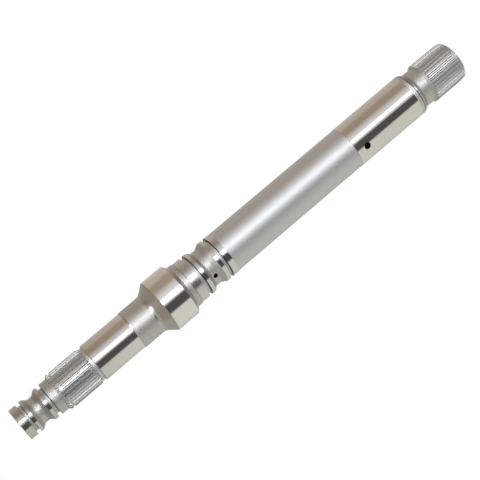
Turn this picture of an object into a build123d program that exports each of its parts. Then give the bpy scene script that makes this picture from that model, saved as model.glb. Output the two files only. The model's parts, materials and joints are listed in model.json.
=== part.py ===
"""Splined shaft, turned, hobbed and ground from one steel bar.

The shaft stands on its wide splined head. The head's end face is at Z = 0, the axis is Z, and
heights are measured up from that face. The narrow grooved nose is at the top. Sizes are in
millimetres.
"""

from build123d import *
from math import acos, cos, pi, radians, sin, tan
import os

# --- Driving dimensions -------------------------------------------------------------------------

shaft_length = 350.0

# Both splines are side-fit involutes with flat roots, on one diametral pitch.
diametral_pitch = 32
module = 25.4 / diametral_pitch
pressure_angle = radians(30)
dedendum_factor = 0.675
head_teeth = 34
nose_teeth = 31
cutter_overrun = 0.4

# Splined head, with a lead-in on its crests and a run-out of its gaps towards the neck.
head_face_radius = 12.45
head_edge_radius = 13.4
head_edge_height = 0.75
head_lead_radius = 13.75
head_lead_height = 3.4
head_crest_start = 7.8
head_crest_end = 24.5
head_root_end = 23.7
head_run_out_end = 25.4

# Neck between the head and the long journal.
neck_radius = 12.46
neck_start = 26.5
neck_end = 32.5
neck_softness = 0.7
shoulder_height = 34.85
shoulder_radius = 14.06

# Long journal and the bead-blasted barrel above it.
long_journal_start = 36.05
long_journal_end = 90.2
long_journal_radius = 14.48
barrel_end = 192.25
barrel_radius = 14.25
barrel_step = 0.15

# Feed waist: a hollow between two seal-ring grooves, with a land on each side.
lower_land_radius = 14.56
lower_ring_start = 196.05
lower_ring_end = 198.5
waist_start = 200.9
waist_floor_start = 204.5
waist_floor_end = 208.2
waist_end = 210.5
waist_floor_radius = 12.5
waist_softness = 0.45
upper_ring_start = 212.85
upper_ring_end = 215.55
seal_ring_floor_radius = 12.88

# Ground band, step, collar and the cone above the collar.
band_end = 221.55
band_radius = 14.6
step_radius = 15.0
collar_chamfer_start = 224.55
collar_start = 227.15
collar_end = 242.6
collar_radius = 18.15
shank_start = 248.8
shank_end = 264.2
shank_radius = 13.1
shank_softness = 1.6

# Short journal, relief neck and splined nose.
short_journal_start = 265.1
short_journal_end = 294.5
short_journal_radius = 12.75
relief_radius = 11.67
relief_end = 296.5
nose_shoulder_height = 297.35
nose_shoulder_radius = 12.4
nose_crest_start = 298.65
nose_crest_end = 320.1
nose_lead_radius = 11.7
nose_lead_end = 321.75
gauge_groove_start = 318.25
gauge_groove_end = 319.4
gauge_groove_radius = 11.9

# Pilot, ring grooves and waist of the nose.
pilot_radius = 11.1
pilot_end = 327.15
nose_land_radius = 10.95
nose_lower_ring_end = 329.4
nose_waist_start = 331.8
nose_waist_floor_start = 334.3
nose_waist_floor_end = 337.7
nose_waist_end = 340.7
nose_waist_radius = 8.7
nose_waist_softness = 1.0
nose_upper_ring_start = 342.55
nose_upper_ring_end = 344.85
nose_ring_floor_radius = 8.9
nose_end_radius = 10.8

broken_edge = 0.35

# Oil galleries along the axis and the cross holes that feed them.
head_gallery_radius = 4.0
nose_gallery_radius = 3.0
centre_mouth = 1.5
centre_angle = radians(60)
drill_point_angle = radians(118)
gallery_overrun = 1.5
journal_hole_height = 82.6
journal_hole_radius = 2.25
journal_hole_turn = 29.0
waist_hole_height = 206.2
waist_hole_radius = 1.5
waist_hole_turn = 36.7


# --- Involute spline geometry -------------------------------------------------------------------


def pitch_radius(teeth):
    """Radius at which a tooth is as wide as the gap beside it."""
    return module * teeth / 2


def crest_radius(teeth):
    """Radius over the tops of the teeth."""
    return module * (teeth + 1) / 2


def root_radius(teeth):
    """Radius of the flat bottoms between the teeth."""
    return pitch_radius(teeth) - dedendum_factor * module


def involute(angle):
    """Involute function of a pressure angle in radians."""
    return tan(angle) - angle


def gap_half_angle(teeth, radius):
    """Half of the angle between two neighbouring flanks at a radius, in radians."""
    base_radius = pitch_radius(teeth) * cos(pressure_angle)
    local_angle = acos(base_radius / radius)
    half_tooth = pi / (2 * teeth) + involute(pressure_angle) - involute(local_angle)
    return pi / teeth - half_tooth


def involute_point(teeth, radius, side):
    """Point of a gap's left (1) or right (-1) flank at a radius."""
    angle = side * gap_half_angle(teeth, radius)
    return (radius * cos(angle), radius * sin(angle))


def make_tooth_gap(teeth):
    """Face of one gap between two teeth, centred on the X axis.

    A flank this short stays within two microns of its involute when it is drawn as the arc
    through the involute's points at the root, the pitch circle and just outside the crest.
    """
    rim_radius = crest_radius(teeth) + cutter_overrun
    radii = (root_radius(teeth), pitch_radius(teeth), rim_radius)
    left = [involute_point(teeth, radius, 1) for radius in radii]
    right = [involute_point(teeth, radius, -1) for radius in radii]
    with BuildSketch() as gap:
        with BuildLine():
            ThreePointArc(*left)
            ThreePointArc(*right)
            ThreePointArc(right[0], (root_radius(teeth), 0), left[0])
            ThreePointArc(right[-1], (rim_radius, 0), left[-1])
        make_face()
    return gap.sketch


def make_spline_cutter(teeth, low, high):
    """Bars that fill every gap of a spline between two heights."""
    gap = make_tooth_gap(teeth)
    with BuildPart() as cutter:
        with BuildSketch(Plane.XY.offset(low)):
            with PolarLocations(0, teeth):
                add(gap)
        extrude(amount=high - low)
    return cutter.part


# --- Half section of the turned blank, from the head's end face to the nose ----------------------


def draw_soft_line(softness, *corners):
    """Line through the corners, with each inner corner rounded as a form tool leaves it.

    The rounding starts at the distance softness from the corner, on both sides of it.
    """
    start = Vector(*corners[0])
    for corner, following in zip(corners[1:-1], corners[2:]):
        bend = Vector(*corner)
        before = bend + (start - bend).normalized() * softness
        after = bend + (Vector(*following) - bend).normalized() * softness
        Line(start, before)
        Bezier(before, bend, after)
        start = after
    Line(start, corners[-1])


def draw_head():
    """Outline of the splined head, its neck and the shoulder of the long journal."""
    crest = crest_radius(head_teeth)
    Polyline(
        (0, 0),
        (head_face_radius, 0),
        (head_edge_radius, head_edge_height),
        (head_lead_radius, head_lead_height),
        (crest, head_crest_start),
        (crest, head_crest_end),
        (neck_radius, neck_start),
    )
    draw_soft_line(
        neck_softness,
        (neck_radius, neck_start),
        (neck_radius, neck_end),
        (shoulder_radius, shoulder_height),
    )
    Line((shoulder_radius, shoulder_height), (long_journal_radius, long_journal_start))


def draw_journal_and_barrel():
    """Outline of the long journal, the barrel and the first seal land."""
    Polyline(
        (long_journal_radius, long_journal_start),
        (long_journal_radius, long_journal_end - barrel_step),
        (barrel_radius, long_journal_end),
        (barrel_radius, barrel_end),
        (lower_land_radius, barrel_end),
        (lower_land_radius, waist_start),
    )


def draw_feed_waist():
    """Outline of the waist between its two sloping sides, up to the ground band."""
    draw_soft_line(
        waist_softness,
        (lower_land_radius, waist_start),
        (waist_floor_radius, waist_floor_start),
        (waist_floor_radius, waist_floor_end),
        (band_radius, waist_end),
    )
    Line((band_radius, waist_end), (band_radius, band_end))


def draw_collar():
    """Outline of the step, the collar between its chamfer and cone, and the shank."""
    Polyline(
        (band_radius, band_end),
        (step_radius, band_end),
        (step_radius, collar_chamfer_start),
        (collar_radius, collar_start),
        (collar_radius, collar_end),
    )
    draw_soft_line(
        shank_softness,
        (collar_radius, collar_end),
        (shank_radius, shank_start),
        (shank_radius, shank_end),
    )


def draw_short_journal():
    """Outline of the short journal and the relief neck before the nose spline."""
    Polyline(
        (shank_radius, shank_end),
        (short_journal_radius, short_journal_start),
        (short_journal_radius, short_journal_end - broken_edge),
        (short_journal_radius - broken_edge, short_journal_end),
        (relief_radius, short_journal_end),
        (relief_radius, relief_end),
    )


def draw_nose():
    """Outline of the nose spline, the pilot and the grooved end."""
    crest = crest_radius(nose_teeth)
    Polyline(
        (relief_radius, relief_end),
        (nose_shoulder_radius, nose_shoulder_height),
        (crest, nose_crest_start),
        (crest, nose_crest_end),
        (nose_lead_radius, nose_lead_end),
        (pilot_radius, nose_lead_end),
        (pilot_radius, pilot_end - broken_edge),
        (pilot_radius - broken_edge, pilot_end),
        (nose_land_radius, pilot_end),
        (nose_land_radius, nose_waist_start),
    )
    draw_soft_line(
        nose_waist_softness,
        (nose_land_radius, nose_waist_start),
        (nose_waist_radius, nose_waist_floor_start),
        (nose_waist_radius, nose_waist_floor_end),
        (nose_land_radius, nose_waist_end),
    )
    Polyline(
        (nose_land_radius, nose_waist_end),
        (nose_land_radius, nose_upper_ring_start),
        (nose_end_radius, nose_upper_ring_end),
        (nose_end_radius, shaft_length - broken_edge),
        (nose_end_radius - broken_edge, shaft_length),
        (0, shaft_length),
    )


def cut_ring_groove(low, high, floor_radius):
    """Turns a square groove round the shaft between two heights."""
    with BuildSketch(Plane.XZ) as groove:
        with Locations((floor_radius, low)):
            Rectangle(collar_radius, high - low, align=Align.MIN)
    revolve(groove.sketch, axis=Axis.Z, mode=Mode.SUBTRACT)


def cut_gallery(end, inward, radius, depth):
    """Drills an oil gallery from an end face, with a 60 degree centre at its mouth."""
    mouth_radius = radius + centre_mouth
    mouth_depth = centre_mouth / tan(centre_angle / 2)
    tip = radius / tan(drill_point_angle / 2)
    with BuildSketch(Plane.XZ) as bore:
        with BuildLine():
            Polyline(
                (0, end),
                (mouth_radius, end),
                (radius, end + inward * mouth_depth),
                (radius, end + inward * depth),
                (0, end + inward * (depth + tip)),
                close=True,
            )
        make_face()
    revolve(bore.sketch, axis=Axis.Z, mode=Mode.SUBTRACT)


def drill_cross_hole(height, radius, turn, surface_radius):
    """Drills square to the axis into the gallery, turned from -Y towards -X."""
    outward = Vector(-sin(radians(turn)), -cos(radians(turn)), 0)
    mouth = Plane(origin=outward * surface_radius + Vector(0, 0, height), z_dir=outward)
    with Locations(mouth):
        Hole(radius, depth=surface_radius)


# --- Cutters for the two splines ------------------------------------------------------------------

nose_cutter = make_spline_cutter(nose_teeth, relief_end - 1, nose_lead_end + 1)
head_bars = make_spline_cutter(head_teeth, -1, head_run_out_end)

# The hob lifts out of the head's gaps, so their bottoms slope up to the crests at the run-out.
with BuildPart() as head_cutter:
    add(head_bars)
    with BuildSketch(Plane.XZ):
        with BuildLine():
            head_root = root_radius(head_teeth)
            head_rim = crest_radius(head_teeth) + 2 * cutter_overrun
            Polyline(
                (head_root, -1),
                (head_rim, -1),
                (head_rim, head_run_out_end),
                (crest_radius(head_teeth), head_run_out_end),
                (head_root, head_root_end),
                close=True,
            )
        make_face()
    revolve(axis=Axis.Z, mode=Mode.INTERSECT)

# --- The shaft --------------------------------------------------------------------------------------

with BuildPart() as shaft:
    with BuildSketch(Plane.XZ):
        with BuildLine():
            draw_head()
            draw_journal_and_barrel()
            draw_feed_waist()
            draw_collar()
            draw_short_journal()
            draw_nose()
            Line((0, shaft_length), (0, 0))
        make_face()
    revolve(axis=Axis.Z)

    cut_ring_groove(lower_ring_start, lower_ring_end, seal_ring_floor_radius)
    cut_ring_groove(upper_ring_start, upper_ring_end, seal_ring_floor_radius)
    cut_ring_groove(gauge_groove_start, gauge_groove_end, gauge_groove_radius)
    cut_ring_groove(pilot_end, nose_lower_ring_end, nose_ring_floor_radius)
    cut_ring_groove(nose_upper_ring_start, nose_upper_ring_end, nose_ring_floor_radius)

    add(head_cutter.part, mode=Mode.SUBTRACT)
    add(nose_cutter, mode=Mode.SUBTRACT)

    head_gallery_depth = journal_hole_height + journal_hole_radius + gallery_overrun
    cut_gallery(0, 1, head_gallery_radius, head_gallery_depth)
    nose_gallery_depth = shaft_length - waist_hole_height + waist_hole_radius + gallery_overrun
    cut_gallery(shaft_length, -1, nose_gallery_radius, nose_gallery_depth)
    drill_cross_hole(
        journal_hole_height, journal_hole_radius, journal_hole_turn, long_journal_radius
    )
    drill_cross_hole(waist_hole_height, waist_hole_radius, waist_hole_turn, band_radius)

shaft.part.label = "shaft"

os.makedirs("parts", exist_ok=True)
export_step(shaft.part, "parts/shaft.step")
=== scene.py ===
"""Visual model of a splined drive shaft: turned body, hobbed splines, drilled oil holes, studio.

The shaft stands on its splined head. Its axis is Z, heights are measured up from the head's end
face, and turns go round the axis from -Y towards -X. The sizes named in this file are in
millimetres, and MM turns them into Blender's metres.
"""

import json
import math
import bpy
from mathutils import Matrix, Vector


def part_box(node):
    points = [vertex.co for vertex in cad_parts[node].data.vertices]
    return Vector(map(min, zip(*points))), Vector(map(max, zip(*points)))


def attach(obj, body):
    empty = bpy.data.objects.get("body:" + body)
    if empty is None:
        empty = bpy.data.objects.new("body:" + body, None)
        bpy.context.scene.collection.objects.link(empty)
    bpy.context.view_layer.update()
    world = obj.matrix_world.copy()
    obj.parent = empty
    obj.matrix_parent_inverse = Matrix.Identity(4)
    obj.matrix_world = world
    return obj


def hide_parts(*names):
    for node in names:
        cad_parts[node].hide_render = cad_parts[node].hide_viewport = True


bl_info = {
    "name": "Splined Shaft",
    "version": (1, 0, 0),
    "blender": (4, 5, 0),
    "location": "3D View > Sidebar > Shaft",
    "description": "Turns, hobs and drills a steel drive shaft and lights it in a plain studio",
    "category": "Object",
}

import bmesh
import bpy
from bpy.props import FloatProperty, FloatVectorProperty, IntProperty, PointerProperty
from mathutils import Matrix, Vector

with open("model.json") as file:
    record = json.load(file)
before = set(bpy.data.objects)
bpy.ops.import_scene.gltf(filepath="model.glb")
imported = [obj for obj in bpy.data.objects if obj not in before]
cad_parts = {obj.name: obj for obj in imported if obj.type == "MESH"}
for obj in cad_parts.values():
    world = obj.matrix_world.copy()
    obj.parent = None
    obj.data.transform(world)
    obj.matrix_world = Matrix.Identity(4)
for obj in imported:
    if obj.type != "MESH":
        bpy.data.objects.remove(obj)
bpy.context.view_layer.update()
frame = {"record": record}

MM = 0.001
BODY = "root"
NODE = "shaft"
SLOT = "steel"

# --- Sizes that come from the frame ---------------------------------------------------------------


def mount_radius(name):
    """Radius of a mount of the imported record, in millimetres."""
    return mounts[name]["dims"]["r_mm"]


def mount_length(name):
    """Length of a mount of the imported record, in millimetres."""
    return mounts[name]["dims"]["length_mm"]


mounts = {mount["name"]: mount for mount in frame["record"]["mounts"]}
steel_record = next(m for m in frame["record"]["materials"] if m["slot"] == SLOT)
shaft_length = round(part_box(NODE)[1].z / MM, 1)

# --- Sizes of the turned body ---------------------------------------------------------------------

# Edges, widths of the near-black painted shade in corners, and corners that the stretches of the
# body share.
broken_edge = 0.35
corner_shade_width = 0.35
journal_shade_width = 1.5 * corner_shade_width
soft_corner_steps = 8

# Lead-in of the splined head, its neck and the shoulder of the long journal.
head_face_radius = 12.45
head_edge_radius = 13.4
head_edge_height = 0.75
head_lead_radius = 13.75
head_lead_height = 3.4
head_crest_start = 7.8
head_crest_end = mount_length("head_spline")
head_root_end = head_crest_end - 0.8
head_run_out_end = head_crest_end + 0.9
neck_radius = 12.46
neck_start = 26.5
neck_end = 32.5
neck_softness = 0.7
shoulder_height = 34.85
shoulder_radius = 14.06
blasted_end = 39.0

# Long journal and the bead-blasted barrel.
long_journal_start = 36.05
long_journal_end = 90.2
barrel_end = 192.25
barrel_step = 0.15
barrel_relief = 0.23

# Feed waist between two seal rings.
lower_land_radius = 14.56
lower_ring_start = 196.05
lower_ring_end = 198.5
waist_start = 200.9
waist_floor_start = 204.5
waist_floor_end = 208.2
waist_end = 210.5
waist_floor_radius = 12.5
waist_softness = 0.45
upper_ring_start = 212.85
upper_ring_end = 215.55
seal_ring_floor_radius = 12.88

# Fine-turned band, step, collar and shank.
band_end = 221.55
band_radius = 14.6
step_radius = 15.0
collar_chamfer_start = 224.55
collar_start = 227.15
collar_end = collar_start + mount_length("collar")
shank_start = 248.8
shank_end = 264.2
shank_radius = 13.1
shank_softness = 1.6

# Short journal, relief and splined nose.
short_journal_start = 265.1
short_journal_end = short_journal_start + mount_length("short_journal") + broken_edge
relief_radius = 11.67
relief_end = 296.5
nose_shoulder_height = 297.35
nose_shoulder_radius = 12.4
nose_crest_start = 298.65
nose_crest_end = 320.1
nose_lead_radius = 11.7
nose_lead_end = 321.75
gauge_groove_start = 318.25
gauge_groove_end = 319.4
gauge_groove_radius = 11.9

# Pilot, ring grooves and waist of the nose.
pilot_radius = 11.1
pilot_end = 327.15
nose_land_radius = 10.95
nose_lower_ring_end = 329.4
nose_waist_start = 331.8
nose_waist_floor_start = 334.3
nose_waist_floor_end = 337.7
nose_waist_end = 340.7
nose_waist_radius = 8.7
nose_waist_softness = 1.0
nose_upper_ring_start = 342.55
nose_upper_ring_end = 344.85
nose_ring_floor_radius = 8.9
nose_end_radius = 10.8

# Fluid has dried in a patch of spots on the band beside the step. The patch fades outwards, and a
# spot starts and is full where the patch times a noise passes the two shares of stain_edge.
stain_height = 218.6
stain_turn = math.radians(15.5)
stain_reach = 4.4
stain_roughness = 0.42
stain_edge = (0.30, 0.37)
stain_spots_per_metre = 2000

# Oil galleries and cross holes.
head_gallery_radius = 4.0
nose_gallery_radius = 3.0
centre_mouth = 1.5
centre_angle = math.radians(60)
drill_point_angle = math.radians(118)
gallery_overrun = 1.5
drill_clearance = 2.0
drill_facets = 48
journal_hole_height = 82.6
journal_hole_radius = 2.25
journal_hole_turn = math.radians(29.0)
waist_hole_height = 206.2
waist_hole_radius = 1.5
waist_hole_turn = math.radians(36.7)

# Both splines are side-fit involutes with flat roots, on one diametral pitch.
module = 25.4 / 32
pressure_angle = math.radians(30)
dedendum_factor = 0.675
flank_steps = 5
core_depth = 0.4
weld_distance = 1e-6

# Finishes of the steel and where the shaft has them, in the order in which the trees number them.
FINISHES = {
    "ground": "journals, collar and nose's lands",
    "land": "lands on both sides of the waist",
    "fine_turned": "bevel below the long journal",
    "stained": "band with its dried fluid",
    "satin": "barrel, relief, ring grooves' floors and head's crests",
    "worn": "neck, waists, step, shank, pilot and gaps between teeth",
    # The steep slopes take a dull finish whose darker colour is painted shade.
    "shaded_dull": "steep slopes of the neck and the waists",
    "turned": "end faces, chamfers, cones and groove walls",
    # The near-black drilled finish is painted shade in the oil holes, the galleries and the dark
    # lines in corners.
    "bore": "oil holes and dirt in corners",
    "cut": "flanks and ends of the teeth",
    "crest": "nose's crests",
}


# --- Sections of the turned body ------------------------------------------------------------------


class Section:
    """Half section of a turned piece: its points, the finish of the run that ends at each point,
    and whether the point is a sharp corner."""

    def __init__(self, radius, height):
        self.points = [(radius, height)]
        self.finishes = [0]
        self.corners = [True]

    def add(self, finish, radius, height, corner=True):
        """Ends a straight run with a finish at a point."""
        self.points.append((radius, height))
        self.finishes.append(list(FINISHES).index(finish))
        self.corners.append(corner)

    def run(self, finish, *points):
        """Adds straight runs with sharp corners."""
        for radius, height in points:
            self.add(finish, radius, height)

    def soft_run(self, finishes, softness, *points):
        """Adds straight runs that meet in corners as a form tool leaves them.

        There is one finish for each run, and a corner takes the finish of the run before it.
        """
        start = Vector(self.points[-1])
        for index, point in enumerate(points[:-1]):
            bend = Vector(point)
            before = bend + (start - bend).normalized() * softness
            after = bend + (Vector(points[index + 1]) - bend).normalized() * softness
            self.add(finishes[index], *before, corner=False)
            for step in range(1, soft_corner_steps + 1):
                t = step / soft_corner_steps
                place = before.lerp(bend, t).lerp(bend.lerp(after, t), t)
                self.add(finishes[index], *place, corner=False)
            start = after
        self.add(finishes[-1], *points[-1])

    def groove(self, low, high, floor_radius, outer_radius):
        """Adds a square ring groove between two heights, with painted shade in the corners of its
        floor.
        """
        # Near-black runs at both ends of the floor are painted shade in the corners.
        self.run("bore", (floor_radius, low), (floor_radius, low + corner_shade_width))
        self.run("satin", (floor_radius, high - corner_shade_width / 2))
        self.run("bore", (floor_radius, high))
        self.run("turned", (outer_radius, high))

    def make_object(self, name):
        """Makes the section an object of vertices and edges in the XZ plane."""
        mesh = bpy.data.meshes.new(name)
        vertices = [(radius * MM, 0, height * MM) for radius, height in self.points]
        mesh.from_pydata(vertices, [(i, i + 1) for i in range(len(vertices) - 1)], [])
        mark(mesh, "finish", "INT", "POINT", self.finishes)
        mark(mesh, "corner", "BOOLEAN", "POINT", self.corners)
        return add_object(name, mesh)


def add_object(name, mesh):
    """Puts a mesh into the scene as an object at the origin."""
    obj = bpy.data.objects.new(name, mesh)
    bpy.context.scene.collection.objects.link(obj)
    return obj


def mark(mesh, name, data_type, domain, values):
    """Stores a value for each point, edge or face of a mesh as a named attribute."""
    mesh.attributes.new(name, data_type, domain).data.foreach_set("value", values)


def head_gallery_depth():
    """Depth of the gallery that is drilled from the head, to the end of its full width."""
    return journal_hole_height + journal_hole_radius + gallery_overrun


def nose_gallery_depth():
    """Depth of the gallery that is drilled from the nose, to the end of its full width."""
    return shaft_length - waist_hole_height + waist_hole_radius + gallery_overrun


def height_on_run(radius, start, end):
    """Height at which a straight run from start to end passes a radius."""
    share = (radius - start[0]) / (end[0] - start[0])
    return start[1] + share * (end[1] - start[1])


def head_run_out(teeth):
    """Radius and height at which the rising gaps of the head spline meet its cone."""
    crest, root = crest_radius(teeth), root_radius(teeth)
    cone_slope = (neck_radius - crest) / (neck_start - head_crest_end)
    gap_slope = (crest - root) / (head_run_out_end - head_root_end)
    height = (crest - root + gap_slope * head_root_end - cone_slope * head_crest_end) / (
        gap_slope - cone_slope
    )
    return root + gap_slope * (height - head_root_end), height


def draw_head(section, sizes):
    """Head gallery, end face, core of the splined head and neck."""
    root = root_radius(sizes.head_teeth)
    depth = head_gallery_depth()
    mouth = head_gallery_radius + centre_mouth
    mouth_depth = centre_mouth / math.tan(centre_angle / 2)
    # The gallery takes the near-black drilled finish, which is painted shade.
    section.run("bore", (head_gallery_radius, depth), (head_gallery_radius, mouth_depth))
    section.run("turned", (mouth, 0), (head_face_radius, 0))
    start = (head_face_radius, 0)
    teeth_start = height_on_run(root, start, (head_edge_radius, head_edge_height))
    run_out_radius, run_out_height = head_run_out(sizes.head_teeth)
    core = root - core_depth
    section.run("turned", (root, teeth_start))
    # The core under the teeth takes the near-black drilled finish, which is painted shade.
    section.run("bore", (core, teeth_start + core_depth), (core, run_out_height - 3 * core_depth))
    section.run("bore", (run_out_radius, run_out_height))
    section.run("worn", (neck_radius, neck_start))
    # The steep slope up to the shoulder is painted darker as shade.
    section.soft_run(
        ("worn", "shaded_dull"),
        neck_softness,
        (neck_radius, neck_end),
        (shoulder_radius, shoulder_height),
    )
    section.run("fine_turned", (sizes.long_journal_radius, long_journal_start))


def draw_journal_and_barrel(section, sizes):
    """Long journal, barrel and the lower land with its seal ring groove."""
    # A near-black line at the start of the journal is painted shade in the corner.
    section.run("bore", (sizes.long_journal_radius, long_journal_start + journal_shade_width))
    section.run("satin", (sizes.long_journal_radius, blasted_end))
    section.run("ground", (sizes.long_journal_radius, long_journal_end - barrel_step))
    section.run("turned", (sizes.barrel_radius, long_journal_end))
    section.run("satin", (sizes.barrel_radius, barrel_end))
    section.run("turned", (lower_land_radius, barrel_end))
    section.run("land", (lower_land_radius, lower_ring_start))
    section.groove(lower_ring_start, lower_ring_end, seal_ring_floor_radius, lower_land_radius)
    section.run("land", (lower_land_radius, waist_start))


def draw_feed_waist(section):
    """Waist, upper seal ring groove and the band up to the step."""
    # The waist's steep upper slope is painted darker as shade.
    section.soft_run(
        ("worn", "worn", "shaded_dull"),
        waist_softness,
        (waist_floor_radius, waist_floor_start),
        (waist_floor_radius, waist_floor_end),
        (band_radius, waist_end),
    )
    section.run("land", (band_radius, upper_ring_start))
    section.groove(upper_ring_start, upper_ring_end, seal_ring_floor_radius, band_radius)
    section.run("stained", (band_radius, band_end - broken_edge))
    # A near-black line at the top of the band, under the step, is painted shade in the corner.
    section.run("bore", (band_radius, band_end))


def draw_collar(section, sizes):
    """Step, collar between its chamfer and cone, and shank."""
    section.run("turned", (step_radius, band_end))
    section.run("worn", (step_radius, collar_chamfer_start))
    section.run("turned", (sizes.collar_radius, collar_start))
    section.run("ground", (sizes.collar_radius, collar_end))
    section.soft_run(
        ("turned", "worn"),
        shank_softness,
        (shank_radius, shank_start),
        (shank_radius, shank_end),
    )


def draw_short_journal(section, sizes):
    """Short journal and the relief before the nose spline."""
    radius = sizes.short_journal_radius
    section.run("turned", (radius, short_journal_start))
    section.run("ground", (radius, short_journal_end - broken_edge))
    section.run("turned", (radius - broken_edge, short_journal_end))
    section.run("turned", (relief_radius, short_journal_end))
    section.run("satin", (relief_radius, relief_end))


def draw_nose(section, sizes):
    """Core of the nose spline, pilot, ring grooves, waist, end face and nose gallery."""
    root = root_radius(sizes.nose_teeth)
    shoulder = (nose_shoulder_radius, nose_shoulder_height)
    low = height_on_run(root, (relief_radius, relief_end), shoulder)
    core = root - core_depth
    section.run("satin", (root, low))
    # The core under the teeth takes the near-black drilled finish, which is painted shade.
    section.run("bore", (core, low + core_depth), (core, nose_lead_end - core_depth))
    section.run("bore", (root, nose_lead_end))
    section.run("turned", (pilot_radius, nose_lead_end))
    section.run("worn", (pilot_radius, pilot_end - broken_edge))
    section.run("turned", (pilot_radius - broken_edge, pilot_end))
    section.groove(pilot_end, nose_lower_ring_end, nose_ring_floor_radius, nose_land_radius)
    section.run("ground", (nose_land_radius, nose_waist_start))
    # Both slopes of the nose's waist are painted darker as shade.
    section.soft_run(
        ("shaded_dull", "worn", "shaded_dull"),
        nose_waist_softness,
        (nose_waist_radius, nose_waist_floor_start),
        (nose_waist_radius, nose_waist_floor_end),
        (nose_land_radius, nose_waist_end),
    )
    section.run("ground", (nose_land_radius, nose_upper_ring_start))
    section.groove(
        nose_upper_ring_start, nose_upper_ring_end, nose_ring_floor_radius, nose_end_radius
    )
    section.run("ground", (nose_end_radius, shaft_length - broken_edge))
    section.run("turned", (nose_end_radius - broken_edge, shaft_length))

    mouth = nose_gallery_radius + centre_mouth
    mouth_end = shaft_length - centre_mouth / math.tan(centre_angle / 2)
    gallery_end = shaft_length - nose_gallery_depth()
    tip = nose_gallery_radius / math.tan(drill_point_angle / 2)
    section.run("turned", (mouth, shaft_length), (nose_gallery_radius, mouth_end))
    # The gallery takes the near-black drilled finish, which is painted shade.
    section.run("bore", (nose_gallery_radius, gallery_end), (0, gallery_end - tip))


# --- Involute spline geometry ---------------------------------------------------------------------


def pitch_radius(teeth):
    """Radius at which a tooth is as wide as the gap beside it."""
    return module * teeth / 2


def crest_radius(teeth):
    """Radius over the tops of the teeth."""
    return module * (teeth + 1) / 2


def root_radius(teeth):
    """Radius of the flat bottoms between the teeth."""
    return pitch_radius(teeth) - dedendum_factor * module


def involute(angle):
    """Involute function of a pressure angle in radians."""
    return math.tan(angle) - angle


def tooth_half_angle(teeth, radius):
    """Half of the angle that a tooth takes up at a radius, in radians."""
    base_radius = pitch_radius(teeth) * math.cos(pressure_angle)
    local_angle = math.acos(base_radius / radius)
    return math.pi / (2 * teeth) + involute(pressure_angle) - involute(local_angle)


def tooth_row(teeth, height, blank, root):
    """Points across one tooth and half a gap on each side, at a height of the blank."""
    rise = [root + (blank - root) * step / flank_steps for step in range(flank_steps + 1)]
    left = [(radius, -tooth_half_angle(teeth, radius)) for radius in rise]
    right = [(radius, -angle) for radius, angle in reversed(left)]
    gap = math.pi / teeth
    places = [(root, -gap)] + left + [(blank, 0)] + right + [(root, gap)]
    return [(r * math.cos(a) * MM, r * math.sin(a) * MM, height * MM) for r, a in places]


def make_tooth(name, teeth, stations):
    """Makes one tooth, with its share of the ring under it, as a strip that closes on itself.

    A station is a height with the radius of the blank and of the gap's bottom there.
    """
    rows = [tooth_row(teeth, *station) for station in stations]
    ring_depth = 2 * core_depth
    inner = root_radius(teeth) - ring_depth
    for height in (stations[-1][0] - ring_depth, stations[0][0] + ring_depth):
        rows.append(tooth_row(teeth, height, inner, inner))
    width = len(rows[0])
    vertices = [point for row in rows for point in row]
    faces = []
    for row in range(len(rows)):
        this, following = row * width, (row + 1) % len(rows) * width
        for column in range(width - 1):
            faces.append(
                (this + column, this + column + 1, following + column + 1, following + column)
            )
    mesh = bpy.data.meshes.new(name)
    mesh.from_pydata(vertices, [], faces)
    mark_tooth(mesh, width, stations)
    return add_object(name, mesh)


def mark_tooth(mesh, width, stations):
    """Marks a tooth's sharp edges, the faces of its level crest and those of the gap beside it."""
    crest_start = 1 + flank_steps
    corner_columns = (1, crest_start, crest_start + 2, width - 2)
    sharp = []
    for edge in mesh.edges:
        a, b = edge.vertices
        along = a % width == b % width
        sharp.append(not along or a % width in corner_columns)
    mark(mesh, "sharp_edge", "BOOLEAN", "EDGE", sharp)
    crest_columns = (crest_start, crest_start + 1)
    level_rows = [row for row, (a, b) in enumerate(zip(stations, stations[1:])) if a[1] == b[1]]
    places = [divmod(face.index, width - 1) for face in mesh.polygons]
    crests = [column in crest_columns and row in level_rows for row, column in places]
    mark(mesh, "crest", "BOOLEAN", "FACE", crests)
    mark(mesh, "gap", "BOOLEAN", "FACE", [column in (0, width - 2) for row, column in places])


def head_stations(teeth):
    """Heights at which the splined head's blank or its gaps change."""
    crest, root = crest_radius(teeth), root_radius(teeth)
    edge = (head_edge_radius, head_edge_height)
    start = height_on_run(root, (head_face_radius, 0), edge)
    run_out_radius, run_out_height = head_run_out(teeth)
    rise = (head_crest_end - head_root_end) / (run_out_height - head_root_end)
    return (
        (start, root, root),
        (head_edge_height, head_edge_radius, root),
        (head_lead_height, head_lead_radius, root),
        (head_crest_start, crest, root),
        (head_root_end, crest, root),
        (head_crest_end, crest, root + rise * (run_out_radius - root)),
        (run_out_height, run_out_radius, run_out_radius),
    )


def nose_stations(teeth):
    """Heights at which the splined nose's blank changes."""
    crest, root = crest_radius(teeth), root_radius(teeth)
    shoulder = (nose_shoulder_radius, nose_shoulder_height)
    low = height_on_run(root, (relief_radius, relief_end), shoulder)
    return (
        (low, root, root),
        (nose_shoulder_height, nose_shoulder_radius, root),
        (nose_crest_start, crest, root),
        (gauge_groove_start, crest, root),
        (gauge_groove_start, gauge_groove_radius, root),
        (gauge_groove_end, gauge_groove_radius, root),
        (gauge_groove_end, crest, root),
        (nose_crest_end, crest, root),
        (nose_lead_end, nose_lead_radius, root),
        (nose_lead_end, root, root),
    )


# --- Nodes ----------------------------------------------------------------------------------------


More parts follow.
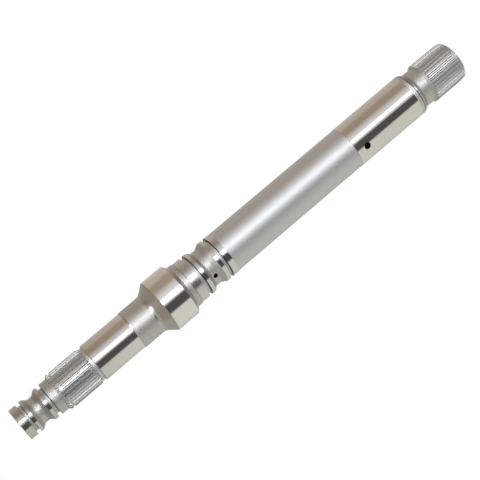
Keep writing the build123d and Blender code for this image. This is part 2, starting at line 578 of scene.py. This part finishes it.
def add_node(tree, node_type, inputs=None, **settings):
    """Adds a node to a tree, with its settings and with links or values for its inputs."""
    node = tree.nodes.new(node_type)
    for key, value in settings.items():
        setattr(node, key, value)
    for key, value in (inputs or {}).items():
        if isinstance(value, bpy.types.NodeSocket):
            tree.links.new(value, node.inputs[key])
        else:
            node.inputs[key].default_value = value
    return node


def add_math(tree, operation, a, b=0.0):
    """Adds a math node and returns its result."""
    return add_node(tree, "ShaderNodeMath", {0: a, 1: b}, operation=operation).outputs[0]


def add_fade(tree, value, start, end):
    """Adds a soft step from 0 at start to 1 at end."""
    inputs = {"Value": value, "From Min": start, "From Max": end}
    node = add_node(tree, "ShaderNodeMapRange", inputs, interpolation_type="SMOOTHSTEP")
    return node.outputs["Result"]


def add_blend(tree, share, low, high):
    """Adds a blend between two colours."""
    low, high = (c if isinstance(c, bpy.types.NodeSocket) else (*c, 1) for c in (low, high))
    inputs = {"Factor": share, "A": low, "B": high}
    return add_node(tree, "ShaderNodeMix", inputs, data_type="RGBA").outputs["Result"]


# --- Geometry trees -------------------------------------------------------------------------------


class Tree:
    """A Geometry Nodes tree in the making, with named inputs and short ways to add nodes."""

    def __init__(self, name):
        self.group = bpy.data.node_groups.new(name, "GeometryNodeTree")
        self.new_input("Geometry", "NodeSocketGeometry")
        self.group.interface.new_socket(
            "Geometry", in_out="OUTPUT", socket_type="NodeSocketGeometry"
        )
        self.inputs = self.group.nodes.new("NodeGroupInput")
        self.outputs = self.group.nodes.new("NodeGroupOutput")

    def new_input(self, name, socket_type):
        """Adds a named input."""
        return self.group.interface.new_socket(name, in_out="INPUT", socket_type=socket_type)

    def input(self, name):
        """Output socket of the group's input with that name."""
        return self.inputs.outputs[name]

    def result(self, node_type, inputs=None, **settings):
        """Adds a node and returns its first output."""
        return add_node(self.group, node_type, inputs, **settings).outputs[0]

    def whole(self, operation, a, b):
        """Result of an operation on two whole numbers."""
        return self.result("FunctionNodeIntegerMath", {0: a, 1: b}, operation=operation)

    def number(self, operation, a, b=0.0):
        """Result of an operation on one or two numbers."""
        return add_math(self.group, operation, a, b)

    def same(self, a, b):
        """Whether two whole numbers are equal."""
        inputs = {2: a, 3: b}
        return self.result("FunctionNodeCompare", inputs, data_type="INT", operation="EQUAL")

    def sample(self, geometry, value, index, data_type):
        """Value of a geometry's point with that index."""
        inputs = {"Geometry": geometry, "Value": value, "Index": index}
        return self.result("GeometryNodeSampleIndex", inputs, data_type=data_type, domain="POINT")

    def attribute(self, name, data_type):
        """Named attribute."""
        inputs = {"Name": name}
        return self.result("GeometryNodeInputNamedAttribute", inputs, data_type=data_type)

    def change(self, node_type, geometry, inputs=None, **settings):
        """Geometry that a node makes of another."""
        return self.result(node_type, {"Geometry": geometry, **(inputs or {})}, **settings)

    def weld(self, geometry):
        """Geometry with the points that lie on each other made one."""
        return self.change("GeometryNodeMergeByDistance", geometry, {"Distance": weld_distance})

    def paint(self, geometry, faces, material):
        """Geometry with a material on some of its faces."""
        inputs = {"Selection": faces, "Material": material}
        return self.change("GeometryNodeSetMaterial", geometry, inputs)

    def turn(self, share, whole):
        """Angle of a share of one turn, in radians."""
        return self.number("DIVIDE", self.number("MULTIPLY", share, 2 * math.pi), whole)

    def finish(self, geometry):
        """Ends the tree."""
        self.group.links.new(geometry, self.outputs.inputs["Geometry"])
        return self.group


def turn_section(tree, section, columns, row, column):
    """Grid with a row for each point of the section, bent round Z."""
    stations = tree.result("GeometryNodeAttributeDomainSize", {"Geometry": section})
    sides = {"Vertices X": stations, "Vertices Y": tree.whole("ADD", columns, 1)}
    grid = tree.result("GeometryNodeMeshGrid", sides)
    position = tree.result("GeometryNodeInputPosition")
    place = tree.sample(section, position, row, "FLOAT_VECTOR")
    radius, _, height = add_node(tree.group, "ShaderNodeSeparateXYZ", {0: place}).outputs
    angle = tree.turn(column, columns)
    turned = {
        "X": tree.number("MULTIPLY", radius, tree.number("COSINE", angle)),
        "Y": tree.number("MULTIPLY", radius, tree.number("SINE", angle)),
        "Z": height,
    }
    turned = tree.result("ShaderNodeCombineXYZ", turned)
    return tree.change("GeometryNodeSetPosition", grid, {"Position": turned})


def sharpen_corners(tree, body, section, across):
    """Body shaded smooth, with sharp rings where the section has a corner."""
    ends = add_node(tree.group, "GeometryNodeInputMeshEdgeVertices")
    rows = [tree.whole("DIVIDE_FLOOR", ends.outputs[i], across) for i in (0, 1)]
    corner = tree.sample(section, tree.attribute("corner", "BOOLEAN"), rows[0], "BOOLEAN")
    inputs = {0: tree.same(*rows), 1: corner}
    sharp = tree.result("FunctionNodeBooleanMath", inputs, operation="AND")
    body = tree.change("GeometryNodeSetShadeSmooth", body, {"Shade Smooth": True})
    inputs = {"Selection": sharp, "Shade Smooth": False}
    return tree.change("GeometryNodeSetShadeSmooth", body, inputs, domain="EDGE")


def build_lathe_tree():
    """Tree that turns a half section round Z and gives every run of it its own finish."""
    tree = Tree("Lathe")
    tree.new_input("Columns", "NodeSocketInt")
    for finish in FINISHES:
        tree.new_input(finish, "NodeSocketMaterial")
    section = tree.input("Geometry")
    columns = tree.input("Columns")
    across = tree.whole("ADD", columns, 1)
    index = tree.result("GeometryNodeInputIndex")
    row = tree.whole("DIVIDE_FLOOR", index, across)
    column = tree.whole("MODULO", index, across)
    body = turn_section(tree, section, columns, row, column)

    run = tree.whole("ADD", tree.whole("DIVIDE_FLOOR", index, columns), 1)
    finish_of_run = tree.sample(section, tree.attribute("finish", "INT"), run, "INT")
    inputs = {"Name": "finish", "Value": finish_of_run}
    body = tree.change(
        "GeometryNodeStoreNamedAttribute", body, inputs, data_type="INT", domain="FACE"
    )
    body = tree.weld(sharpen_corners(tree, body, section, across))
    body = tree.change("GeometryNodeRealizeInstances", body)
    for number, finish in enumerate(FINISHES):
        faces = tree.same(tree.attribute("finish", "INT"), number)
        body = tree.paint(body, faces, tree.input(finish))
    return tree.finish(body)


def build_hobbing_tree():
    """Tree that sets one tooth round Z as many times as the spline has teeth."""
    tree = Tree("Hobbing")
    tree.new_input("Teeth", "NodeSocketInt")
    for part in ("Flanks", "Crests", "Gaps"):
        tree.new_input(part, "NodeSocketMaterial")
    teeth = tree.input("Teeth")
    points = tree.result("GeometryNodePoints", {"Count": teeth})
    angle = tree.turn(tree.result("GeometryNodeInputIndex"), teeth)
    turned = tree.result("ShaderNodeCombineXYZ", {"Z": angle})
    inputs = {"Points": points, "Instance": tree.input("Geometry"), "Rotation": turned}
    ring = tree.result("GeometryNodeInstanceOnPoints", inputs)
    ring = tree.weld(tree.change("GeometryNodeRealizeInstances", ring))
    ring = tree.paint(ring, True, tree.input("Flanks"))
    ring = tree.paint(ring, tree.attribute("crest", "BOOLEAN"), tree.input("Crests"))
    ring = tree.paint(ring, tree.attribute("gap", "BOOLEAN"), tree.input("Gaps"))
    return tree.finish(ring)


def apply_tree(obj, group, values):
    """Puts a tree on an object as a modifier and sets the modifier's inputs by identifier."""
    modifier = obj.modifiers.new(group.name, "NODES")
    modifier.node_group = group
    for item in group.interface.items_tree:
        if item.in_out == "INPUT" and item.name in values:
            modifier[item.identifier] = values[item.name]


def bake_piece(source, name):
    """Makes the modified source a plain mesh object, with its faces outwards."""
    depsgraph = bpy.context.evaluated_depsgraph_get()
    mesh = bpy.data.meshes.new_from_object(source.evaluated_get(depsgraph))
    bpy.data.objects.remove(source)
    mesh.name = name
    work = bmesh.new()
    work.from_mesh(mesh)
    bmesh.ops.recalc_face_normals(work, faces=work.faces)
    work.to_mesh(mesh)
    work.free()
    return add_object(name, mesh)


# --- Finishes of the steel ------------------------------------------------------------------------


def start_material(name, **values):
    """Makes a material with constant values on its shader's sockets, and returns its shader too."""
    material = bpy.data.materials.new(name)
    material.use_nodes = True
    shader = material.node_tree.nodes["Principled BSDF"]
    for socket, value in values.items():
        shader.inputs[socket.replace("_", " ")].default_value = value
    return material, shader


def add_grain(tree, shader, marks, height):
    """Adds the grain of a finish as a bump that follows the object's own coordinates."""
    place = add_node(tree, "ShaderNodeTexCoord").outputs["Object"]
    place = add_node(tree, "ShaderNodeMapping", {"Vector": place, "Scale": marks}).outputs[0]
    noise = add_node(tree, "ShaderNodeTexNoise", {"Vector": place, "Scale": 1, "Detail": 2})
    inputs = {"Strength": 1, "Distance": height * MM, "Height": noise.outputs["Fac"]}
    bump = add_node(tree, "ShaderNodeBump", inputs)
    tree.links.new(bump.outputs["Normal"], shader.inputs["Normal"])


def add_stain(tree, shader, stain_colour):
    """Adds the patch of brown spots on the band, which dull the steel under them."""
    colour, roughness = shader.inputs["Base Color"], shader.inputs["Roughness"]
    place = add_node(tree, "ShaderNodeTexCoord").outputs["Object"]
    middle = (
        -band_radius * math.sin(stain_turn) * MM,
        -band_radius * math.cos(stain_turn) * MM,
        stain_height * MM,
    )
    inputs = {"Vector": place, "Location": middle, "Scale": (stain_reach * MM,) * 3}
    patch = add_node(tree, "ShaderNodeMapping", inputs, vector_type="TEXTURE").outputs[0]
    patch = add_node(tree, "ShaderNodeTexGradient", {"Vector": patch}, gradient_type="SPHERICAL")
    inputs = {"Vector": place, "Scale": stain_spots_per_metre, "Detail": 2}
    spots = add_node(tree, "ShaderNodeTexNoise", inputs)
    speckled = add_math(tree, "MULTIPLY", patch.outputs["Fac"], spots.outputs["Fac"])
    cover = add_fade(tree, speckled, *stain_edge)
    tree.links.new(add_blend(tree, cover, colour.default_value[:3], stain_colour), colour)
    dulling = add_math(tree, "MULTIPLY", cover, stain_roughness - roughness.default_value)
    tree.links.new(add_math(tree, "ADD", dulling, roughness.default_value), roughness)


def make_finishes():
    """Makes the steel's finishes from the colours and roughnesses of the panel."""
    looks = bpy.context.scene.shaft_looks
    # Marks to the metre along X, Y and Z, as a tool's rings or as grains of blasting.
    rings = (60, 60, 4000)
    grains = (3500, 3500, 3500)
    # Each finish has a colour, a roughness, its marks and their height in millimetres.
    kinds = {
        "ground": (looks.polished_colour, looks.ground_roughness, rings, 0.0001),
        "land": (looks.land_colour, looks.ground_roughness, rings, 0.0002),
        "fine_turned": (looks.land_colour, looks.fine_roughness, rings, 0.0004),
        "stained": (looks.land_colour, looks.turned_roughness, rings, 0.0015),
        "satin": (looks.satin_colour, looks.satin_roughness, grains, 0.0015),
        "worn": (looks.worn_colour, looks.worn_roughness, grains, 0.0015),
        # The dull finish's darker colour is painted shade on the steep slopes.
        "shaded_dull": (looks.shaded_dull_colour, looks.dull_roughness, grains, 0.0015),
        "turned": (looks.turned_colour, looks.turned_roughness, rings, 0.0015),
        # The drilled finish's near-black colour is painted shade in holes and corners.
        "bore": (looks.shaded_bore_colour, looks.turned_roughness, rings, 0.0015),
        "cut": (looks.cut_colour, looks.cut_roughness, rings, 0.0001),
        "crest": (looks.land_colour, looks.fine_roughness, rings, 0.0001),
    }
    for name, (colour, roughness, marks, height) in kinds.items():
        colour = (*colour, 1)
        material, shader = start_material(
            name + "_steel", Base_Color=colour, Metallic=1, Roughness=roughness
        )
        add_grain(material.node_tree, shader, marks, height)
        if name == "stained":
            add_stain(material.node_tree, shader, looks.stain_colour)


def finish_material(name):
    """Material of a finish, made once."""
    if name + "_steel" not in bpy.data.materials:
        make_finishes()
    return bpy.data.materials[name + "_steel"]


# --- Properties -----------------------------------------------------------------------------------


def limited(kind, name, description, default, low, high, **more):
    """Property of a kind with a lowest and a highest value."""
    return kind(name=name, description=description, default=default, min=low, max=high, **more)


def radius_property(name, place, default, low, high):
    """Property for the radius of a place on the shaft."""
    description = f"Radius of the {place}, in millimetres"
    return limited(FloatProperty, name, description, default, low, high)


def teeth_property(end, low, high):
    """Property for the teeth of the spline at an end of the shaft."""
    teeth = round(2 * mount_radius(end + "_spline") / module) - 1
    description = f"Number of teeth on the {end} spline"
    return limited(IntProperty, end.title() + " teeth", description, teeth, low, high)


def colour_property(name, description, default):
    """Property for a colour."""
    return FloatVectorProperty(name=name, description=description, default=default, subtype="COLOR")


def places_with(finishes):
    """Names the places on the shaft that have some finishes."""
    return "; ".join(FINISHES[finish] for finish in finishes)


def steel_colour(name, default, *finishes):
    """Property for the colour of some finishes."""
    return colour_property(name + " steel", "Colour of the " + places_with(finishes), default)


def steel_roughness(name, default, *finishes):
    """Property for the roughness of some finishes."""
    description = "Roughness of the " + places_with(finishes)
    return limited(
        FloatProperty, name + " roughness", description, default, 0, 1, subtype="FACTOR"
    )


class ShaftSizes(bpy.types.PropertyGroup):
    """Sizes of the shaft that decide what it fits. The radii are in millimetres."""

    long_journal_radius: radius_property(
        "Long journal radius",
        "ground journal beside the splined head",
        mount_radius("long_journal"),
        14.0,
        14.6,
    )
    barrel_radius: radius_property(
        "Barrel radius",
        "bead-blasted barrel",
        mount_radius("long_journal") - barrel_relief,
        13.0,
        14.5,
    )
    collar_radius: radius_property(
        "Collar radius", "polished collar", mount_radius("collar"), 16.0, 18.2
    )
    short_journal_radius: radius_property(
        "Short journal radius",
        "ground journal below the nose spline",
        mount_radius("short_journal"),
        12.0,
        13.1,
    )
    head_teeth: teeth_property("head", 6, 34)
    nose_teeth: teeth_property("nose", 6, 31)
    columns: limited(IntProperty, "Columns", "Facets round the turned body", 192, 24, 512)


class ShaftLooks(bpy.types.PropertyGroup):
    """Colours and roughnesses of the steel's finishes."""

    polished_colour: steel_colour("Polished", steel_record["base_color"], "ground")
    land_colour: steel_colour(
        "Land", (0.56, 0.565, 0.575), "land", "fine_turned", "stained", "crest"
    )
    satin_colour: steel_colour("Satin", (0.60, 0.61, 0.625), "satin")
    worn_colour: steel_colour("Worn", (0.54, 0.54, 0.535), "worn")
    # Darker colour of the steep slopes, which is painted shade.
    shaded_dull_colour: steel_colour("Dull", (0.45, 0.44, 0.43), "shaded_dull")
    turned_colour: steel_colour("Turned", (0.57, 0.55, 0.53), "turned")
    # Near-black colour painted as shade in the holes, galleries and corners.
    shaded_bore_colour: steel_colour("Drilled", (0.10, 0.095, 0.09), "bore")
    cut_colour: steel_colour("Cut", (0.50, 0.505, 0.51), "cut")
    stain_colour: colour_property(
        "Dried fluid", "Colour of the spots of dried fluid on the band", (0.27, 0.215, 0.145)
    )
    ground_roughness: steel_roughness("Ground", 0.10, "ground", "land")
    fine_roughness: steel_roughness("Fine-turned", 0.26, "fine_turned", "crest")
    satin_roughness: steel_roughness("Satin", 0.50, "satin")
    worn_roughness: steel_roughness("Worn", 0.47, "worn")
    dull_roughness: steel_roughness("Dull", 0.40, "shaded_dull")
    turned_roughness: steel_roughness("Turned", 0.28, "turned", "bore", "stained")
    cut_roughness: steel_roughness("Cut", 0.50, "cut")


class ShaftStudio(bpy.types.PropertyGroup):
    """Light, floor and camera of the studio."""

    strip_strength: limited(
        FloatProperty, "Strip light", "Brightness of the strip light before the shaft", 5.6, 0, 10
    )
    wall_strength: limited(FloatProperty, "Walls", "Brightness of the studio's walls", 1.0, 0, 2)
    strip_colour: colour_property(
        "Strip colour", "Colour of the tall strip light", (0.975, 0.98, 1.0)
    )
    ceiling_colour: colour_property(
        "Ceiling", "Colour of the studio's ceiling", (0.40, 0.345, 0.285)
    )
    ground_colour: colour_property(
        "Ground", "Colour of what lies under the table", (0.36, 0.35, 0.335)
    )
    floor_colour: colour_property("Floor", "Colour of the plain floor", (0.97, 0.97, 0.97))
    camera_distance: limited(
        FloatProperty,
        "Camera distance",
        "Distance from the camera to the middle of the shaft",
        0.833,
        0.3,
        5,
        unit="LENGTH",
        subtype="DISTANCE",
    )
    camera_lens: limited(
        FloatProperty,
        "Lens",
        "Focal length of the camera's lens, in millimetres",
        102.75,
        20,
        300,
        unit="CAMERA",
    )


# --- Operators ------------------------------------------------------------------------------------


def make_drill(name, height, radius, turn, surface_radius):
    """Cylinder that drills a cross hole from outside the shaft to its axis."""
    reach = (surface_radius + drill_clearance) * MM
    outward = Vector((-math.sin(turn), -math.cos(turn), 0))
    place = Matrix.Translation(outward * (reach / 2) + Vector((0, 0, height * MM)))
    turned = outward.to_track_quat("Z", "Y").to_matrix().to_4x4()
    work = bmesh.new()
    bmesh.ops.create_cone(
        work,
        cap_ends=True,
        segments=drill_facets,
        radius1=radius * MM,
        radius2=radius * MM,
        depth=reach,
        matrix=place @ turned,
    )
    mesh = bpy.data.meshes.new(name)
    for face in work.faces:
        face.smooth = True
    work.to_mesh(mesh)
    work.free()
    # The hole takes the near-black drilled finish, which is painted shade.
    mesh.materials.append(finish_material("bore"))
    return add_object(name, mesh)


def mark_hole_rims(mesh):
    """Keeps the rims of the drilled holes sharp."""
    bore = mesh.materials.find("bore_steel")
    drilled = {}
    for face in mesh.polygons:
        for key in face.edge_keys:
            drilled.setdefault(key, []).append(face.material_index == bore)
    for edge in mesh.edges:
        sides = drilled.get(edge.key, [])
        if any(sides) and not all(sides):
            edge.use_edge_sharp = True


def declare_piece(piece):
    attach(piece, BODY)
    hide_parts(NODE)


class SHAFT_OT_turn_body(bpy.types.Operator):
    """Turns the shaft's body with its journals, collar, grooves and galleries, and drills it"""

    bl_idname = "shaft.turn_body"
    bl_label = "Turn Body"

    def execute(self, context):
        sizes = context.scene.shaft_sizes
        tip = head_gallery_radius / math.tan(drill_point_angle / 2)
        section = Section(0, head_gallery_depth() + tip)
        draw_head(section, sizes)
        draw_journal_and_barrel(section, sizes)
        draw_feed_waist(section)
        draw_collar(section, sizes)
        draw_short_journal(section, sizes)
        draw_nose(section, sizes)
        blank = section.make_object("section")
        values = {finish: finish_material(finish) for finish in FINISHES}
        apply_tree(blank, build_lathe_tree(), {"Columns": sizes.columns, **values})

        drills = (
            make_drill(
                "journal_drill",
                journal_hole_height,
                journal_hole_radius,
                journal_hole_turn,
                sizes.long_journal_radius,
            ),
            make_drill(
                "waist_drill",
                waist_hole_height,
                waist_hole_radius,
                waist_hole_turn,
                band_radius,
            ),
        )
        for drill in drills:
            cut = blank.modifiers.new(drill.name, "BOOLEAN")
            cut.operation = "DIFFERENCE"
            cut.solver = "EXACT"
            cut.material_mode = "TRANSFER"
            cut.object = drill
        body = bake_piece(blank, "turned_body")
        for drill in drills:
            bpy.data.objects.remove(drill)
        mark_hole_rims(body.data)
        declare_piece(body)
        return {"FINISHED"}


class SHAFT_OT_hob_splines(bpy.types.Operator):
    """Hobs the involute teeth of the head and the nose"""

    bl_idname = "shaft.hob_splines"
    bl_label = "Hob Splines"

    def execute(self, context):
        sizes = context.scene.shaft_sizes
        hobbing = build_hobbing_tree()
        splines = (
            ("head_spline", sizes.head_teeth, head_stations(sizes.head_teeth), "satin"),
            ("nose_spline", sizes.nose_teeth, nose_stations(sizes.nose_teeth), "crest"),
        )
        for name, teeth, stations, crests in splines:
            tooth = make_tooth(name + "_tooth", teeth, stations)
            # The gaps are centred on the X axis, so the first tooth stands half a pitch away.
            tooth.data.transform(Matrix.Rotation(math.pi / teeth, 4, "Z"))
            finishes = {
                "Flanks": finish_material("cut"),
                "Crests": finish_material(crests),
                "Gaps": finish_material("worn"),
            }
            apply_tree(tooth, hobbing, {"Teeth": teeth, **finishes})
            declare_piece(bake_piece(tooth, name))
        return {"FINISHED"}


# Azimuths go round the shaft as turns do, and heights go up from the level, both in degrees. The
# walls are a ring of plain cards that blend into each other: a grey backdrop, a tan wall, a brown
# wall, a white screen and a cream wall.
BACKDROP = (0.70, 0.70, 0.65)
TAN_WALL = (0.70, 0.60, 0.50)
BROWN_WALL = (0.50, 0.40, 0.30)
WHITE_SCREEN = (1.0, 1.0, 1.0)
CREAM_WALL = (0.90, 0.90, 0.80)
WALLS = (
    (-180, BACKDROP),
    (-150, BACKDROP),
    (-120, TAN_WALL),
    (-100, TAN_WALL),
    (-80, BROWN_WALL),
    (-55, BROWN_WALL),
    (-25, WHITE_SCREEN),
    (10, WHITE_SCREEN),
    (55, CREAM_WALL),
    (120, CREAM_WALL),
    (150, BACKDROP),
    (180, BACKDROP),
)
# Brightness of the walls by height. They are brightest a little below the level.
WALL_LEVELS = ((-50, 0.6), (-20, 0.9), (-8, 1.0), (0, 0.7), (40, 0.6))
# A black card stands to the right of the strip light. A pair is where an edge starts and is full.
BLACK_CARD = (0.10, 0.10, 0.10)
BLACK_CARD_LEFT = (5, 15)
BLACK_CARD_RIGHT = (54, 44)
BLACK_CARD_FOOT = (-50, -25)
BLACK_CARD_TOP = (30, 5)
# The strip light is widest at its middle height. Its right edge slants in from there to a limit,
# and both edges lean over above, the left one more.
STRIP_LEFT = -13
STRIP_RIGHT = 4
STRIP_SOFTNESS = 4
STRIP_EDGE = 1.5
STRIP_MIDDLE = -9
STRIP_SLANT = 0.6
STRIP_SLANT_LIMIT = 8
STRIP_LEANS = (0.35, 0.2)
STRIP_LOW_END = (-68, -58)
STRIP_HIGH_END = (62, 46)
# The walls give way to the ceiling above the shaft and to the dark below the table.
CEILING_FADE = (42, 60)
GROUND_FADE = (-56, -74)


def add_ramp(tree, angle, turn, stops):
    """Adds a ramp of colours along an angle that spans a turn and is 0 in its middle."""
    share = add_math(tree, "ADD", add_math(tree, "DIVIDE", angle, turn), 0.5)
    ramp = add_node(tree, "ShaderNodeValToRGB", {"Fac": share})
    elements = ramp.color_ramp.elements
    elements.remove(elements[-1])
    elements[0].position = stops[0][0] / turn + 0.5
    elements[0].color = (*stops[0][1], 1)
    for place, colour in stops[1:]:
        elements.new(place / turn + 0.5).color = (*colour, 1)
    return ramp


def add_strip(tree, azimuth, height):
    """Adds the strip light's share of the view in a direction."""
    above = add_math(tree, "SUBTRACT", height, STRIP_MIDDLE)
    lifted = add_math(tree, "MAXIMUM", above, 0.0)
    slanted = add_math(tree, "MULTIPLY", add_math(tree, "ABSOLUTE", above), STRIP_SLANT)
    slanted = add_math(tree, "MINIMUM", slanted, STRIP_SLANT_LIMIT)
    left, right = (
        add_math(tree, "ADD", azimuth, add_math(tree, "MULTIPLY", lifted, lean))
        for lean in STRIP_LEANS
    )
    share = add_fade(tree, left, STRIP_LEFT - STRIP_SOFTNESS, STRIP_LEFT + STRIP_SOFTNESS)
    for value, start, end in (
        (add_math(tree, "ADD", right, slanted), STRIP_RIGHT + STRIP_EDGE, STRIP_RIGHT - STRIP_EDGE),
        (height, *STRIP_LOW_END),
        (height, *STRIP_HIGH_END),
    ):
        share = add_math(tree, "MULTIPLY", share, add_fade(tree, value, start, end))
    return share


def make_world(studio):
    """Lights the shaft with the studio's walls and strip light, on a white ground."""
    world = bpy.data.worlds.new("studio")
    bpy.context.scene.world = world
    world.use_nodes = True
    tree = world.node_tree
    tree.nodes.clear()
    direction = add_node(tree, "ShaderNodeTexCoord").outputs["Generated"]
    x, y, z = add_node(tree, "ShaderNodeSeparateXYZ", {0: direction}).outputs
    away_x, away_y = (add_math(tree, "MULTIPLY", side, -1.0) for side in (x, y))
    azimuth = add_math(tree, "DEGREES", add_math(tree, "ARCTAN2", away_x, away_y))
    height = add_math(tree, "DEGREES", add_math(tree, "ARCSINE", z))

    walls = add_ramp(tree, azimuth, 360, WALLS)
    greys = [(angle, (level, level, level)) for angle, level in WALL_LEVELS]
    levels = add_ramp(tree, height, 180, greys)
    levels.color_ramp.interpolation = "EASE"
    inputs = {0: walls.outputs["Color"], 1: levels.outputs["Color"]}
    lit = add_node(tree, "ShaderNodeVectorMath", inputs, operation="MULTIPLY").outputs[0]
    share = add_fade(tree, azimuth, *BLACK_CARD_LEFT)
    for angle, edge in (
        (azimuth, BLACK_CARD_RIGHT),
        (height, BLACK_CARD_FOOT),
        (height, BLACK_CARD_TOP),
    ):
        share = add_math(tree, "MULTIPLY", share, add_fade(tree, angle, *edge))
    view = add_blend(tree, share, lit, BLACK_CARD)
    view = add_blend(tree, add_fade(tree, height, *CEILING_FADE), view, studio.ceiling_colour)
    view = add_blend(tree, add_fade(tree, height, *GROUND_FADE), view, studio.ground_colour)
    strip_light = [studio.strip_strength * channel for channel in studio.strip_colour]
    view = add_blend(tree, add_strip(tree, azimuth, height), view, strip_light)
    inputs = {"Color": view, "Strength": studio.wall_strength}
    light = add_node(tree, "ShaderNodeBackground", inputs).outputs[0]
    ground = add_node(tree, "ShaderNodeBackground", {"Color": (1, 1, 1, 1)}).outputs[0]
    camera_ray = add_node(tree, "ShaderNodeLightPath").outputs["Is Camera Ray"]
    choice = add_node(tree, "ShaderNodeMixShader", {"Fac": camera_ray, 1: light, 2: ground})
    add_node(tree, "ShaderNodeOutputWorld", {"Surface": choice.outputs[0]})


def make_floor(studio):
    """Lays the plain pale floor that the shaft stands on."""
    half_width = 3
    sides = (-half_width, half_width)
    mesh = bpy.data.meshes.new("floor")
    mesh.from_pydata([(x, y, 0) for y in sides for x in sides], [], [(0, 1, 3, 2)])
    floor = add_object("floor", mesh)
    material, _ = start_material(
        "pale_floor",
        Base_Color=(0.12, 0.12, 0.12, 1),
        Roughness=1,
        Specular_IOR_Level=0,
        Emission_Color=(*studio.floor_colour, 1),
        Emission_Strength=1,
    )
    mesh.materials.append(material)
    # The steel shows the studio's walls, which reach below the table's level.
    floor.visible_glossy = False
    floor.visible_shadow = False


def make_camera(studio):
    """Sets the camera in front of the shaft, a little above its middle and rolled."""
    aim_height = 0.1767
    rise = math.radians(11.3)
    roll = math.radians(130.264)
    distance = studio.camera_distance
    outward = Vector((0, -math.cos(rise), math.sin(rise)))
    level = Vector((1, 0, 0))
    upward = outward.cross(level)
    right = level * math.cos(roll) - upward * math.sin(roll)
    up = level * math.sin(roll) + upward * math.cos(roll)
    data = bpy.data.cameras.new("camera")
    data.lens = studio.camera_lens
    data.sensor_width = 36
    data.shift_x = -0.00466
    data.shift_y = -0.00634
    data.clip_start = 0.01
    camera = add_object("camera", data)
    axes = Matrix((right, up, outward)).transposed().to_4x4()
    camera.matrix_world = Matrix.Translation(Vector((0, 0, aim_height)) + outward * distance) @ axes
    bpy.context.scene.camera = camera


class SHAFT_OT_set_studio(bpy.types.Operator):
    """Sets the floor, the light and the camera round the shaft"""

    bl_idname = "shaft.set_studio"
    bl_label = "Set Studio"

    def execute(self, context):
        studio = context.scene.shaft_studio
        make_world(studio)
        make_floor(studio)
        make_camera(studio)
        context.scene.view_settings.view_transform = "Standard"
        return {"FINISHED"}


class SHAFT_PT_panel(bpy.types.Panel):
    """Lists the shaft's settings and its operators in the sidebar"""

    bl_idname = "SHAFT_PT_panel"
    bl_label = "Splined Shaft"
    bl_space_type = "VIEW_3D"
    bl_region_type = "UI"
    bl_category = "Shaft"

    def draw(self, context):
        for settings in (
            context.scene.shaft_sizes,
            context.scene.shaft_looks,
            context.scene.shaft_studio,
        ):
            box = self.layout.box()
            for name in settings.__annotations__:
                box.prop(settings, name)
        for operator in OPERATORS:
            self.layout.operator(operator.bl_idname)


GROUPS = {
    "shaft_sizes": ShaftSizes,
    "shaft_looks": ShaftLooks,
    "shaft_studio": ShaftStudio,
}
OPERATORS = (SHAFT_OT_turn_body, SHAFT_OT_hob_splines, SHAFT_OT_set_studio)


def register():
    """Registers the properties, the operators and the panel."""
    for cls in (*GROUPS.values(), *OPERATORS, SHAFT_PT_panel):
        bpy.utils.register_class(cls)
    for name, group in GROUPS.items():
        setattr(bpy.types.Scene, name, PointerProperty(type=group))


def unregister():
    """Takes back what register did."""
    for name in GROUPS:
        delattr(bpy.types.Scene, name)
    for cls in (SHAFT_PT_panel, *reversed(OPERATORS), *reversed(GROUPS.values())):
        bpy.utils.unregister_class(cls)


def main():
    """Registers the add-on and builds the shaft and its studio."""
    register()
    bpy.ops.shaft.turn_body()
    bpy.ops.shaft.hob_splines()
    bpy.ops.shaft.set_studio()


if __name__ == "__main__":
    main()
